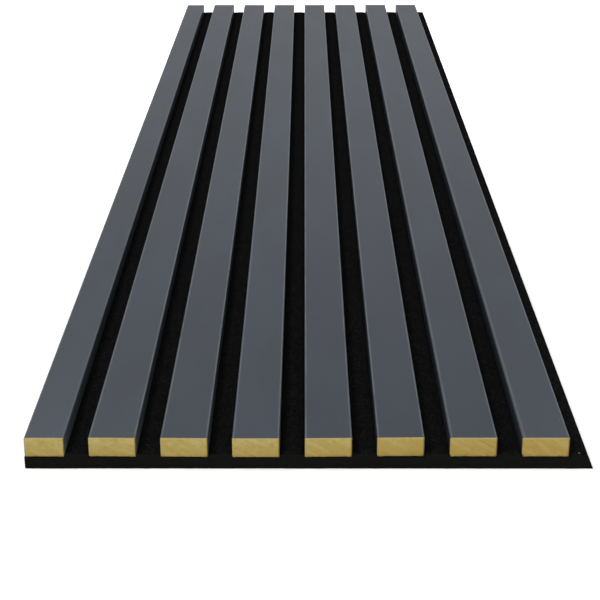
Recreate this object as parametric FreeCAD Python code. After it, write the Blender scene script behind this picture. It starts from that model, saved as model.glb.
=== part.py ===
# Acoustic slat wall panel, lying on its back with the slats up.
# Foil-wrapped fibreboard slats are glued and stapled in a row on a board of pressed felt.
# X runs across the slats, Y along them and Z from the wall side out to the room.
# The origin is the middle of the panel's back face. All sizes are in millimetres.
import FreeCAD, Part

import math
import os

# Slats
SLAT_COUNT = 8
SLAT_LENGTH = 1200.0
SLAT_WIDTH = 25.0
SLAT_THICKNESS = 11.2
SLAT_GAP = 13.0
# The first slat is ripped narrower, which brings the panel to its nominal width
FIRST_SLAT_WIDTH = 21.0

# Decor foil, wrapped round each slat and turned in under it
FOIL_THICKNESS = 0.2
FOIL_RETURN = 3.0

# Corners of the fibreboard inside the foil
CORE_TOP_RADIUS = 0.6
CORE_FOOT_RADIUS = 0.3

# Felt board
FELT_THICKNESS = 9.0
# How deep the gluing press sinks each slat into the felt
SEAT_DEPTH = 2.3
# The lap edge is cut on a slant, so its foot stands out past its top by this much
LAP_SLANT = 3.5
FELT_EDGE_RADIUS = 0.9

# Glue film, between the two foil returns
GLUE_SIDE_CLEARANCE = 0.4
GLUE_END_SET_BACK = 4.0

# Staples, driven from the back through the felt into the fibreboard
STAPLE_WIRE_WIDTH = 0.95
STAPLE_WIRE_THICKNESS = 0.65
STAPLE_POINT = 1.1
# How far the crown is sunk below the felt's back
STAPLE_SINK = 0.3
# Fibreboard left above the points
STAPLE_COVER = 3.4
# From each leg to the edge of the foil's return, under the narrowest slat
STAPLE_MARGIN = 1.05
STAPLE_SPACING = 250.0
STAPLE_END_DISTANCE = 100.0

# A cutter reaches this far past the surface that it opens
OVERCUT = 1.0

PITCH = SLAT_WIDTH + SLAT_GAP
LAP_WIDTH = SLAT_GAP
PANEL_WIDTH = FIRST_SLAT_WIDTH + (SLAT_COUNT - 1) * PITCH + LAP_WIDTH
PANEL_LEFT = -PANEL_WIDTH / 2
PANEL_RIGHT = PANEL_WIDTH / 2
NEAR_END = -SLAT_LENGTH / 2
SLAT_FOOT = FELT_THICKNESS - SEAT_DEPTH
SLAT_TOP = SLAT_FOOT + SLAT_THICKNESS
CORE_FOOT = SLAT_FOOT + FOIL_THICKNESS
STAPLE_TIP = SLAT_TOP - FOIL_THICKNESS - STAPLE_COVER
STAPLE_CROWN = min(FIRST_SLAT_WIDTH, SLAT_WIDTH) - 2 * (FOIL_RETURN + STAPLE_MARGIN)


def point(x, z):
    """A point of a cross-section, on the plane of the near end."""
    return FreeCAD.Vector(x, NEAR_END, z)


def line(start, end):
    """A straight edge between two cross-section points, each given as (x, z)."""
    return Part.LineSegment(point(*start), point(*end)).toShape()


def corner(centre, radius, start_degrees, sweep_degrees):
    """A rounded corner: an arc about a centre (x, z), from one angle through a sweep."""
    angles = [start_degrees, start_degrees + sweep_degrees / 2, start_degrees + sweep_degrees]
    on_arc = [
        point(
            centre[0] + radius * math.cos(math.radians(angle)),
            centre[1] + radius * math.sin(math.radians(angle)),
        )
        for angle in angles
    ]
    return Part.Arc(*on_arc).toShape()


def bar(edges, length=SLAT_LENGTH):
    """The cross-section that the edges bound, run along the panel for a length."""
    wire = Part.Wire(Part.__sortEdges__(edges))
    return Part.Face(wire).extrude(FreeCAD.Vector(0, length, 0))


def wrap_path(left, right, inset):
    """The line that the foil follows round a slat, from one return's edge to the other's.

    An inset of nothing gives the foil's outside, and an inset of its thickness its inside.
    """
    low = SLAT_FOOT + inset
    high = SLAT_TOP - inset
    west = left + inset
    east = right - inset
    foot = CORE_FOOT_RADIUS + FOIL_THICKNESS - inset
    top = CORE_TOP_RADIUS + FOIL_THICKNESS - inset
    return [
        line((left + FOIL_RETURN, low), (west + foot, low)),
        corner((west + foot, low + foot), foot, 270, -90),
        line((west, low + foot), (west, high - top)),
        corner((west + top, high - top), top, 180, -90),
        line((west + top, high), (east - top, high)),
        corner((east - top, high - top), top, 90, -90),
        line((east, high - top), (east, low + foot)),
        corner((east - foot, low + foot), foot, 0, -90),
        line((east - foot, low), (right - FOIL_RETURN, low)),
    ]


def slat_foil(left, right):
    """The foil round one slat: a thin open profile with its edges turned in underneath."""
    tips = [
        line((tip, SLAT_FOOT), (tip, CORE_FOOT))
        for tip in (left + FOIL_RETURN, right - FOIL_RETURN)
    ]
    return bar(wrap_path(left, right, 0) + wrap_path(left, right, FOIL_THICKNESS) + tips)


def slat_core(left, right, staple_holes):
    """The fibreboard bar inside one foil, with the holes that its staples make."""
    underside = line((left + FOIL_RETURN, CORE_FOOT), (right - FOIL_RETURN, CORE_FOOT))
    core = bar(wrap_path(left, right, FOIL_THICKNESS) + [underside])
    return core.cut(staple_holes)


def glue_film(left, right, staple_holes):
    """The glue between the felt and one core, as thick as the foil returns beside it."""
    inset = FOIL_RETURN + GLUE_SIDE_CLEARANCE
    film = Part.makeBox(
        right - left - 2 * inset,
        SLAT_LENGTH - 2 * GLUE_END_SET_BACK,
        FOIL_THICKNESS,
        FreeCAD.Vector(left + inset, NEAR_END + GLUE_END_SET_BACK, SLAT_FOOT),
    )
    return film.cut(staple_holes)


def felt_board():
    """The plain felt board: square on the left, slanted at the lap and soft at its rims."""
    corners = [
        (PANEL_LEFT, 0.0),
        (PANEL_RIGHT, 0.0),
        (PANEL_RIGHT - LAP_SLANT, FELT_THICKNESS),
        (PANEL_LEFT, FELT_THICKNESS),
    ]
    board = bar([line(corners[i], corners[(i + 1) % 4]) for i in range(4)])

    def is_soft_rim(edge):
        """Whether a top edge is at an end or at the lap, and not the square left one."""
        return edge.BoundBox.ZMin > FELT_THICKNESS / 2 and edge.BoundBox.XMax > 0

    return board.makeFillet(FELT_EDGE_RADIUS, [e for e in board.Edges if is_soft_rim(e)])


def felt_backing(slats, staple_slots):
    """The felt board with a pressed seat for each slat and the staples' slots."""
    board = felt_board()
    for left, right in slats:
        outside = OVERCUT if left <= PANEL_LEFT else 0.0
        seat = Part.makeBox(
            right - left + outside,
            SLAT_LENGTH + 2 * OVERCUT,
            SEAT_DEPTH + OVERCUT,
            FreeCAD.Vector(left - outside, NEAR_END - OVERCUT, SLAT_FOOT),
        )
        board = board.cut(seat)
    return board.cut(staple_slots)


def staple():
    """One bent wire staple, points up, with the middle of its crown over the origin."""
    half = STAPLE_CROWN / 2
    inner = half - STAPLE_WIRE_THICKNESS
    low = STAPLE_SINK
    crown_top = STAPLE_SINK + STAPLE_WIRE_THICKNESS
    bend = STAPLE_WIRE_THICKNESS / 2
    right_half = [
        (half - bend, low),
        (half, low + bend),
        (half, STAPLE_TIP),
        (inner, STAPLE_TIP - STAPLE_POINT),
        (inner, crown_top),
    ]
    outline = right_half + [(-x, z) for x, z in reversed(right_half)]
    following = outline[1:] + outline[:1]
    wire = bar([line(a, b) for a, b in zip(outline, following)], STAPLE_WIRE_WIDTH)
    wire.translate(FreeCAD.Vector(0, -NEAR_END - STAPLE_WIRE_WIDTH / 2, 0))
    return wire


def staple_slot():
    """The space that a staple takes up, opened below its crown to the felt's back."""
    crown_slot = Part.makeBox(
        STAPLE_CROWN,
        STAPLE_WIRE_WIDTH,
        OVERCUT + STAPLE_SINK + STAPLE_WIRE_THICKNESS,
        FreeCAD.Vector(-STAPLE_CROWN / 2, -STAPLE_WIRE_WIDTH / 2, -OVERCUT),
    )
    return crown_slot.fuse(staple()).removeSplitter()


def staple_rows(slats):
    """The middle of every staple's crown, as one list of (x, y) for each slat."""
    run = SLAT_LENGTH - 2 * STAPLE_END_DISTANCE
    spaces = max(1, round(run / STAPLE_SPACING))
    along = [NEAR_END + STAPLE_END_DISTANCE + run * i / spaces for i in range(spaces + 1)]
    return [[((left + right) / 2, y) for y in along] for left, right in slats]


def placed(shape, places):
    """Copies of a shape at each (x, y), as one compound."""
    copies = []
    for x, y in places:
        copy = shape.copy()
        copy.translate(FreeCAD.Vector(x, y, 0))
        copies.append(copy)
    return Part.makeCompound(copies)


def slat_sides():
    """The left and right side of every slat, counted from the narrow first one."""
    first_right = PANEL_LEFT + FIRST_SLAT_WIDTH
    sides = [(PANEL_LEFT, first_right)]
    for i in range(1, SLAT_COUNT):
        right = first_right + i * PITCH
        sides.append((right - SLAT_WIDTH, right))
    return sides


def build():
    """Every piece of the panel, by its name."""
    slats = slat_sides()
    rows = staple_rows(slats)
    slot = staple_slot()
    every_place = [place for row in rows for place in row]
    pieces = {
        "felt_backing": felt_backing(slats, placed(slot, every_place)),
        "staples": placed(staple(), every_place),
    }
    for i, ((left, right), row) in enumerate(zip(slats, rows), start=1):
        holes = placed(slot, row)
        pieces[f"slat_core_{i}"] = slat_core(left, right, holes)
        pieces[f"slat_foil_{i}"] = slat_foil(left, right)
        pieces[f"glue_film_{i}"] = glue_film(left, right, holes)
    return pieces


os.makedirs("parts", exist_ok=True)
for name, shape in build().items():
    shape.exportStep(f"parts/{name}.step")
    print(name, len(shape.Solids), "solid(s)", shape.isValid(), round(shape.Volume, 1))
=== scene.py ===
"""Looks of the acoustic slat wall panel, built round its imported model.

Dark foil-wrapped fibreboard slats lie on a board of pressed felt, slats up, with the sawn
ends towards the camera. X runs across the slats, Y along them and Z from the wall side out.
Lengths in this file are in metres, and a size in millimetres is written as a number times MM.
"""

import logging
import math
from dataclasses import dataclass, field
from enum import Enum, IntEnum

import bmesh
import bpy
import numpy as np
from mathutils import Matrix, Vector


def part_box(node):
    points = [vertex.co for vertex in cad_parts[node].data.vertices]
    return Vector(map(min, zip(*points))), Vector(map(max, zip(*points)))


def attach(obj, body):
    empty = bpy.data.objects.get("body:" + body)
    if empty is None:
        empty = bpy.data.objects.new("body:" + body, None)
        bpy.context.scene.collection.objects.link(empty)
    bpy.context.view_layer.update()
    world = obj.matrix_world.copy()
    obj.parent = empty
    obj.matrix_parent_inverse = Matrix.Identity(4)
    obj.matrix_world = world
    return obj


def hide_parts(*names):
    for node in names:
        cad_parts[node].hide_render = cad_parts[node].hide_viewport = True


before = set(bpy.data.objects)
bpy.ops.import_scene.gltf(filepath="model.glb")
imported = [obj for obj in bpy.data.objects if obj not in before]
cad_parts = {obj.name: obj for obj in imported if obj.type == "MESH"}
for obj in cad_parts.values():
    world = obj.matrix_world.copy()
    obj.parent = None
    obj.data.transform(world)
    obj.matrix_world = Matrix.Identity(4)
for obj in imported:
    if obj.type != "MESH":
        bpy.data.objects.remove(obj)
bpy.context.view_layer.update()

Piece = bpy.types.Object
Tree = bpy.types.NodeTree
Socket = bpy.types.NodeSocket
Triple = tuple[float, float, float]

MM = 0.001
# Points closer than this to a plane are taken to lie on it
TOUCH = 0.01 * MM
ROOT = "root"
SLAT_COUNT = sum(name.startswith("slat_core_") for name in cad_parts)
LOG = logging.getLogger("slat_panel")


class Slot(Enum):
    """The record's material slots."""

    FELT = "felt"
    FOIL = "decor_foil"
    BOARD = "fibreboard"
    GLUE = "glue"
    WIRE = "staple_wire"


class End(Enum):
    """The two ends of a slat, as the sign of the way out along Y."""

    NEAR = -1
    FAR = 1


class Seed(IntEnum):
    """Where each kind of chance starts, so that every run gives the same panel."""

    NAP = 11
    WANDER = 13
    FAR_ENDS = 31
    RIM = 40
    LINT = 60
    FIBRES = 77
    RAGGED = 100
    SAWN = 200


@dataclass(frozen=True)
class Box:
    """A box in the panel's frame, read from a CAD node."""

    low: Triple
    high: Triple

    @classmethod
    def of(cls, node: str) -> "Box":
        """The box of the CAD node with this name."""
        low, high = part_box(node)
        return cls(tuple(low), tuple(high))

    def moved(self, x: float) -> "Box":
        """The same box, moved across the slats."""
        return Box((self.low[0] + x, *self.low[1:]), (self.high[0] + x, *self.high[1:]))

    def middle(self, axis: int) -> float:
        """The middle of the box along an axis."""
        return (self.low[axis] + self.high[axis]) / 2

    def size(self, axis: int) -> float:
        """The length of the box along an axis."""
        return self.high[axis] - self.low[axis]

    def end_gap(self, points: np.ndarray) -> np.ndarray:
        """How far each point lies from the nearer end of the box, along Y."""
        return np.minimum(points[:, 1] - self.low[1], self.high[1] - points[:, 1])


@dataclass(frozen=True)
class Steps:
    """Spacing that is close at both ends of a run: the first step grows by a factor to the widest."""

    first: float
    growth: float
    widest: float

    def between(self, low: float, high: float) -> np.ndarray:
        """Places between two ends, with the whole run stretched to end exactly at both.

        Args:
            low: The lower end.
            high: The upper end.

        Returns:
            The places in rising order.
        """
        half = (high - low) / 2
        steps = np.minimum(self.first * self.growth ** np.arange(int(half / self.first)), self.widest)
        reach = np.concatenate([[0.0], np.cumsum(steps)])
        reach = reach[: int(np.searchsorted(reach, half)) + 1]
        reach *= half / reach[-1]
        return np.concatenate([low + reach, (high - reach[:-1])[::-1]])


def ripple(points: np.ndarray, wavelength: float, seed: int, waves: int = 9) -> np.ndarray:
    """Smooth random relief with a chosen grain, from about -1 to 1.

    The value is a sum of sine waves, each with its own random direction, phase and a
    wavelength between 0.6 and 1.6 times the one asked for, divided by the root of half
    the number of waves.

    Args:
        points: One row of coordinates for each point.
        wavelength: The typical distance between crests.
        seed: Picks the waves.
        waves: How many waves are summed.

    Returns:
        One value for each point.
    """
    draw = np.random.default_rng(seed)
    direction = draw.normal(size=(waves, points.shape[1]))
    direction /= np.linalg.norm(direction, axis=1, keepdims=True)
    rate = 2 * math.pi / (wavelength * draw.uniform(0.6, 1.6, waves))
    phase = draw.uniform(0, 2 * math.pi, waves)
    return np.sin(points @ (direction * rate[:, None]).T + phase).sum(axis=1) / math.sqrt(waves / 2)


def bell(gap: np.ndarray, reach: float) -> np.ndarray:
    """A bell curve of a distance: 1 at none, and e to the minus one at its reach."""
    return np.exp(-((gap / reach) ** 2))


def quarter_arc(x: float, z: float, radius: float, start: float, steps: int) -> np.ndarray:
    """A quarter circle that turns clockwise about a centre.

    Args:
        x: X of the centre.
        z: Z of the centre.
        radius: Its radius.
        start: The angle of its first point, in radians from X towards Z.
        steps: How many points it has.

    Returns:
        Rows of x and z.
    """
    angle = start - np.linspace(0, math.pi / 2, steps)
    return np.stack([x + radius * np.cos(angle), z + radius * np.sin(angle)], axis=1)


def outline(grid: np.ndarray) -> np.ndarray:
    """The points round the edge of a grid, in order, with the first one again at the end."""
    return np.concatenate([grid[0], grid[1:, -1], grid[-1, -2::-1], grid[-2::-1, 0]])


class Shell:
    """A closed surface gathered from grids of points that meet at equal edges."""

    def __init__(self) -> None:
        """Start with no grids."""
        self.points: list[np.ndarray] = []
        self.quads: list[np.ndarray] = []
        self.count = 0

    def add_grid(self, grid: np.ndarray) -> None:
        """Add a grid, with a face of four points for each of its cells.

        Args:
            grid: The points, as an array of rows, columns and three coordinates.
        """
        rows, columns = grid.shape[:2]
        number = self.count + np.arange(rows * columns).reshape(rows, columns)
        corners = (number[:-1, :-1], number[:-1, 1:], number[1:, 1:], number[1:, :-1])
        self.points.append(grid.reshape(-1, 3))
        self.quads.append(np.stack([corner.ravel() for corner in corners], axis=1))
        self.count += rows * columns

    def welded(self) -> tuple[np.ndarray, np.ndarray]:
        """Join the points that lie in one place, to a hundred-thousandth of a millimetre.

        Returns:
            The points that are left, and the faces with their new numbers, without those
            that shrank to a line.
        """
        points = np.concatenate(self.points)
        keys = np.round(points / (1e-5 * MM)).astype(np.int64)
        _, first, number = np.unique(keys, axis=0, return_index=True, return_inverse=True)
        quads = number.reshape(-1)[np.concatenate(self.quads)]
        ordered = np.sort(quads, axis=1)
        repeats = (ordered[:, 1:] == ordered[:, :-1]).sum(axis=1)
        return points[first], quads[repeats < 2]


def make_piece(name: str, points: np.ndarray, faces: np.ndarray, sharp: float = 40.0) -> Piece:
    """Put points and faces into a new object at the origin, with its faces turned outwards.

    Args:
        name: The piece's name.
        points: One row of coordinates for each point.
        faces: One row of four point numbers for each face. A number that repeats the
            one before it is left out, which makes that face a triangle.
        sharp: Edges that turn by more than this many degrees stay sharp.

    Returns:
        The new object, linked to the scene.
    """
    mesh = bpy.data.meshes.new(name)
    kept = faces != np.roll(faces, 1, axis=1)
    corners = kept.sum(axis=1)
    mesh.vertices.add(len(points))
    mesh.vertices.foreach_set("co", points.astype(np.float32).ravel())
    mesh.loops.add(int(corners.sum()))
    mesh.loops.foreach_set("vertex_index", faces[kept].astype(np.int32))
    mesh.polygons.add(len(faces))
    mesh.polygons.foreach_set("loop_start", (np.cumsum(corners) - corners).astype(np.int32))
    mesh.update(calc_edges=True)
    mesh.validate()
    work = bmesh.new()
    work.from_mesh(mesh)
    bmesh.ops.recalc_face_normals(work, faces=work.faces)
    work.to_mesh(mesh)
    work.free()
    mesh.shade_smooth()
    mesh.set_sharp_from_angle(angle=math.radians(sharp))
    piece = bpy.data.objects.new(name, mesh)
    bpy.context.scene.collection.objects.link(piece)
    return piece


def node_points(node: str) -> np.ndarray:
    """The corners of a CAD node's mesh.

    Args:
        node: The node's name.

    Returns:
        One row of coordinates for each corner.
    """
    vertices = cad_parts[node].data.vertices
    flat = np.empty(len(vertices) * 3)
    vertices.foreach_get("co", flat)
    return flat.reshape(-1, 3)


def set_attributes(piece: Piece, **values: np.ndarray) -> None:
    """Store numbers for every point of a piece, for its material to read.

    Args:
        piece: The piece.
        values: One number for each point, under the attribute's name.
    """
    for name, numbers in values.items():
        attribute = piece.data.attributes.new(name, "FLOAT", "POINT")
        attribute.data.foreach_set("value", numbers.astype(np.float32))


def linear(hex_colour: str) -> tuple[float, float, float, float]:
    """Turn an sRGB colour to the linear one that a shader works with.

    Args:
        hex_colour: Six hex digits for red, green and blue.

    Returns:
        Linear red, green and blue, and an alpha of one.
    """
    parts = [int(hex_colour[i : i + 2], 16) / 255 for i in (0, 2, 4)]
    red, green, blue = (p / 12.92 if p <= 0.04045 else ((p + 0.055) / 1.055) ** 2.4 for p in parts)
    return red, green, blue, 1.0


def add(tree: Tree, kind: str, sockets: dict | tuple = (), **settings) -> bpy.types.Node:
    """Add a node with its settings, its sockets' values and its links.

    Args:
        tree: The material's or world's node tree.
        kind: The node's type name.
        sockets: Each input's value, or the output that it is linked from, in the inputs'
            order or under their names or numbers.
        settings: The node's own properties.

    Returns:
        The new node.
    """
    node = tree.nodes.new(kind)
    for name, value in settings.items():
        setattr(node, name, value)
    for key, value in sockets.items() if isinstance(sockets, dict) else enumerate(sockets):
        if isinstance(value, Socket):
            tree.links.new(value, node.inputs[key])
        else:
            node.inputs[key].default_value = value
    return node


def blank_material(name: str) -> tuple[bpy.types.Material, Tree, Socket]:
    """Start a material with no nodes but its object coordinates.

    Args:
        name: The material's name.

    Returns:
        The material, its node tree and the output of the coordinates.
    """
    material = bpy.data.materials.new(name)
    material.use_nodes = True
    material.node_tree.nodes.clear()
    place = add(material.node_tree, "ShaderNodeTexCoord").outputs["Object"]
    return material, material.node_tree, place


def speckle(tree: Tree, place: Socket, grain: Triple, detail: float = 3.0, roughness: float = 0.55,
            tilt: float = 0.0) -> Socket:
    """Noise whose grains have a real size along X, Y and Z.

    Args:
        tree: The material's node tree.
        place: The object coordinates.
        grain: The grains' length along each axis, in metres.
        detail: Octaves of finer noise.
        roughness: How strong the finer octaves are.
        tilt: How far the grains are turned about Y, in radians.

    Returns:
        The noise value's output.
    """
    scaled = add(tree, "ShaderNodeMapping", {"Vector": place, "Rotation": (0.0, tilt, 0.0), "Scale": grain},
                 vector_type="TEXTURE")
    sockets = {"Vector": scaled.outputs[0], "Scale": 1.0, "Detail": detail, "Roughness": roughness}
    return add(tree, "ShaderNodeTexNoise", sockets).outputs[0]


def coated(tree: Tree, colour: Socket | tuple, *coats: tuple) -> Socket:
    """Lay tints over a colour, one after the other.

    Args:
        tree: The material's node tree.
        colour: The colour underneath, as a value or an output.
        coats: For each tint a pattern's output and the tint, as hex digits or an output. The
            pattern is the tint's share, unless two of its values follow, between which the
            share goes smoothly from 0 to 1, or from one to the other of two more numbers.

    Returns:
        The output of the coated colour.
    """
    for share, tint, *limits in coats:
        if limits:
            spread = add(tree, "ShaderNodeMapRange", (share, *limits), interpolation_type="SMOOTHSTEP")
            share = spread.outputs[0]
        over = linear(tint) if isinstance(tint, str) else tint
        colour = add(tree, "ShaderNodeMix", {0: share, 6: colour, 7: over}, data_type="RGBA").outputs[2]
    return colour


def close_material(tree: Tree, relief: Socket, depth: float, strength: float, sockets: dict) -> None:
    """Give a material its shader, and a relief too fine for its mesh.

    Args:
        tree: The material's node tree.
        relief: The output of the relief's height, from 0 to 1.
        depth: How deep the relief is, in metres.
        strength: How much of it shows, from 0 to 1.
        sockets: The shader's own inputs, by name.
    """
    bump = add(tree, "ShaderNodeBump", {"Height": relief, "Distance": depth, "Strength": strength})
    shader = add(tree, "ShaderNodeBsdfPrincipled", {**sockets, "Normal": bump.outputs[0]})
    add(tree, "ShaderNodeOutputMaterial", {"Surface": shader.outputs[0]})


@dataclass(frozen=True)
class PressedFelt:
    """Needled polyester felt, dyed black and pressed to a board: soft and almost lightless.

    Fine fibres lie in every direction, so the eye sees a matt, faintly hairy black with a few
    paler fibre ends, and no gloss.
    """

    black: str = "0B0B0C"
    fibre_grey: str = "303030"
    # The cut faces' colour: paler fibre ends, and partly painted light where the lamps fall on the front
    cut_grey_and_light: str = "191918"
    fibre_length: float = 3.0 * MM
    # A fibre is 0.02 mm thick, which would not show, so it is drawn ten times coarser
    fibre_width: float = 0.22 * MM
    tuft: float = 7.0 * MM
    # How often the fibres bend, and how far they wander there
    bend_length: float = 4.0 * MM
    wander: float = 1.6 * MM
    relief: float = 0.35 * MM

    def build(self) -> bpy.types.Material:
        """Make the material: two noises of long grains, across each other, on bent coordinates.

        Returns:
            The material.
        """
        material, tree, place = blank_material("needled_polyester_felt")
        warp = add(tree, "ShaderNodeTexNoise",
                   {"Vector": place, "Scale": 1 / self.bend_length, "Detail": 2.0})
        bent = add(tree, "ShaderNodeVectorMath", (warp.outputs[1], (self.wander,) * 3, place),
                   operation="MULTIPLY_ADD").outputs[0]
        across = speckle(tree, bent, (self.fibre_length, self.fibre_width, self.fibre_width), 2.0)
        along = speckle(tree, bent, (self.fibre_width, self.fibre_length, self.fibre_width), 2.0)
        tangle = add(tree, "ShaderNodeMath", (across, along), operation="MAXIMUM").outputs[0]
        tufts = speckle(tree, place, (self.tuft,) * 3, 2.0)
        cut = add(tree, "ShaderNodeAttribute", attribute_name="cut").outputs["Fac"]
        colour = coated(
            tree,
            linear(self.black),
            (tangle, self.fibre_grey, 0.52, 0.78),
            (tufts, self.black, 0.35, 0.7, 0.0, 0.35),
            # Cut faces painted paler: fibre ends, and partly painted light
            (cut, self.cut_grey_and_light),
        )
        shader = {"Base Color": colour, "Roughness": 1.0, "Specular IOR Level": 0.0}
        close_material(tree, tangle, self.relief, 0.8, shader)
        return material


@dataclass(frozen=True)
class DecorFoil:
    """Matt charcoal decor foil, embossed and hot-laminated round the slat.

    The eye sees a flat blue-grey with a dry, very fine grain along the slat, slow changes of
    tone, a pale line where the foil is stretched over each long top edge, and a soft glare
    towards the far end.
    """

    charcoal: str = "101923"
    cool: str = "0D1A28"
    warm: str = "12191F"
    stretched: str = "626A6B"
    pale: str = "59616C"
    # The colour of the painted light on the right sides
    scuffed: str = "6C7568"
    paper: str = "4A3E2A"
    torn_paper: str = "A8955F"
    nick: str = "A7A08F"
    # The dark of the grain's pores, also used for the painted shade on the sides
    pore_and_shade: str = "0A0D11"
    pore_size: Triple = (0.35 * MM, 9.0 * MM, 0.35 * MM)
    dust_size: Triple = (0.6 * MM, 0.6 * MM, 0.6 * MM)
    cloud_size: Triple = (26 * MM, 120 * MM, 26 * MM)
    patch_size: Triple = (38 * MM, 460 * MM, 90 * MM)
    wear_size: Triple = (2.0 * MM, 30.0 * MM, 2.0 * MM)
    relief: float = 0.05 * MM
    # Melamine has 1.46, but the embossing scatters part of its gloss
    sheen_ior: float = 1.31
    roughness: tuple[float, float] = (0.49, 0.51)
    # Heights between which the sides are painted darker: painted shade, deepest next to the felt
    top: float = 16.9 * MM
    foot: float = 9.0 * MM
    # Height up to which the foil's cut edge grows pale, torn by the saw
    torn_to: float = 17.6 * MM
    # Where the foil is chipped on the third slat's right edge, and how far the chip reaches
    chip_place: Triple = (-53.0 * MM, -447.0 * MM, 17.8 * MM)
    chip_reach: float = 0.9 * MM
    # A pale speck on the last slat, near its front right corner
    speck_place: Triple = (134.2 * MM, -579.0 * MM, 17.9 * MM)
    speck_reach: float = 0.5 * MM
    # The share of a spot's reach that is pale all over
    spot_core: float = 0.3

    def build(self) -> bpy.types.Material:
        """Make the material: a ground of slow clouds with a painted sheen towards the near end, then grain,
        painted shade down the sides, painted light on the right sides, wear and spots.

        Returns:
            The material.
        """
        material, tree, place = blank_material("embossed_decor_foil")
        pores = speckle(tree, place, self.pore_size, 3.0, 0.6)
        dust = speckle(tree, place, self.dust_size, 3.0, 0.7)
        clouds = speckle(tree, place, self.cloud_size, 2.0)
        patches = speckle(tree, place, self.patch_size, 1.0)
        wear = speckle(tree, place, self.wear_size, 2.0)
        height = add(tree, "ShaderNodeSeparateXYZ", (place,)).outputs[2]
        tone, scuff, bend, cut = (
            add(tree, "ShaderNodeAttribute", attribute_name=name).outputs["Fac"]
            for name in ("tone", "scuff", "bend", "cut")
        )
        chip_gap, speck_gap = (
            add(tree, "ShaderNodeVectorMath", (place, spot), operation="DISTANCE").outputs["Value"]
            for spot in (self.chip_place, self.speck_place)
        )
        worn = add(tree, "ShaderNodeMapRange", (wear, 0.25, 0.6, 0.2, 0.55), interpolation_type="SMOOTHSTEP")
        bared = add(tree, "ShaderNodeMath", (bend, worn.outputs[0]), operation="MULTIPLY").outputs[0]
        edge = coated(tree, linear(self.paper), (height, self.torn_paper, self.top, self.torn_to))
        colour = coated(
            tree,
            linear(self.cool),
            (clouds, self.warm, 0.35, 0.65),
            (patches, self.charcoal, 0.3, 0.7),
            # A painted sheen: paler towards the near end
            (tone, self.pale),
            (pores, self.pore_and_shade, 0.46, 0.3, 0.0, 0.4),
            (dust, self.pale, 0.6, 0.75, 0.0, 0.15),
            # Painted shade: the sides are painted darker towards the felt, where the grooves shade them, so
            # they sink into the black
            (height, self.pore_and_shade, self.top, self.foot, 0.0, 0.75),
            # Painted light on the right sides, strongest towards the near end
            (scuff, self.scuffed),
            (bared, self.stretched),
            (cut, edge),
            (chip_gap, self.nick, self.chip_reach, self.spot_core * self.chip_reach),
            (speck_gap, self.stretched, self.speck_reach, self.spot_core * self.speck_reach),
        )
        rough = add(tree, "ShaderNodeMapRange", (clouds, 0.3, 0.7, *self.roughness),
                    interpolation_type="SMOOTHSTEP")
        grain = add(tree, "ShaderNodeMath", (pores, dust), operation="ADD").outputs[0]
        shader = {"Base Color": colour, "Roughness": rough.outputs[0], "IOR": self.sheen_ior}
        close_material(tree, grain, self.relief, 0.6, shader)
        return material


@dataclass(frozen=True)
class SawnFibreboard:
    """Medium-density fibreboard cut across by a fine saw.

    The eye sees mealy yellow fibre, browner and denser towards the two pressed faces, with
    warm blotches, a scorched rim and the blade's faint curved scores.
    """

    straw: str = "C2B276"
    ochre: str = "B09B55"
    brown: str = "7E5A28"
    amber: str = "AC8A3E"
    pale: str = "CBBB82"
    scratch: str = "806A30"
    meal_size: Triple = (0.32 * MM, 0.32 * MM, 0.32 * MM)
    blotch_size: Triple = (5.5 * MM, 5.5 * MM, 3.5 * MM)
    flake_size: Triple = (2.2 * MM, 2.2 * MM, 1.3 * MM)
    fibre_size: Triple = (1.4 * MM, 0.4 * MM, 0.18 * MM)
    streak_size: Triple = (16 * MM, 16 * MM, 2.2 * MM)
    # The blade's broad streaks fall to the right, as its finest score does
    saw_tilt: float = math.radians(30)
    relief: float = 0.12 * MM
    # Heights between which the board's tone goes from the foot's to the top's
    low: float = 7.0 * MM
    high: float = 17.7 * MM

    def build(self) -> bpy.types.Material:
        """Make the material: a ground that pales upwards, then blotches, streaks, fibres and the rim.

        Returns:
            The material.
        """
        material, tree, place = blank_material("sawn_fibreboard")
        meal = speckle(tree, place, self.meal_size, 4.0, 0.75)
        blotches = speckle(tree, place, self.blotch_size, 3.0, 0.6)
        flakes = speckle(tree, place, self.flake_size, 3.0, 0.6)
        fibres = speckle(tree, place, self.fibre_size, 3.0, 0.7)
        streaks = speckle(tree, place, self.streak_size, 2.0, 0.5, self.saw_tilt)
        height = add(tree, "ShaderNodeSeparateXYZ", (place,)).outputs[2]
        browned, torn, rim, scored = (
            add(tree, "ShaderNodeAttribute", attribute_name=name).outputs["Fac"]
            for name in ("browned", "torn", "rim", "score")
        )
        depth = add(tree, "ShaderNodeMapRange", (height, self.high, self.low, 0.15, 0.75),
                    interpolation_type="SMOOTHSTEP")
        foot = add(tree, "ShaderNodeMath", (browned, depth.outputs[0]), operation="MULTIPLY").outputs[0]
        colour = coated(
            tree,
            linear(self.ochre),
            (height, self.straw, self.low, self.high),
            (browned, self.ochre),
            (foot, self.amber),
            (blotches, self.ochre, 0.4, 0.6, 0.0, 0.75),
            (flakes, self.amber, 0.52, 0.72, 0.0, 0.6),
            (streaks, self.straw, 0.5, 0.68, 0.0, 0.32),
            (streaks, self.amber, 0.46, 0.3, 0.0, 0.25),
            (meal, self.pale, 0.58, 0.78, 0.0, 0.7),
            (fibres, self.brown, 0.42, 0.25, 0.0, 0.5),
            # Paler at the top and the left: torn fibre, and a painted highlight along those edges
            (torn, self.pale),
            (rim, self.brown),
            (scored, self.scratch),
        )
        grain = add(tree, "ShaderNodeMath", (meal, fibres), operation="ADD").outputs[0]
        shader = {"Base Color": colour, "Roughness": 0.92, "Specular IOR Level": 0.2}
        close_material(tree, grain, self.relief, 0.7, shader)
        return material


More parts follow.
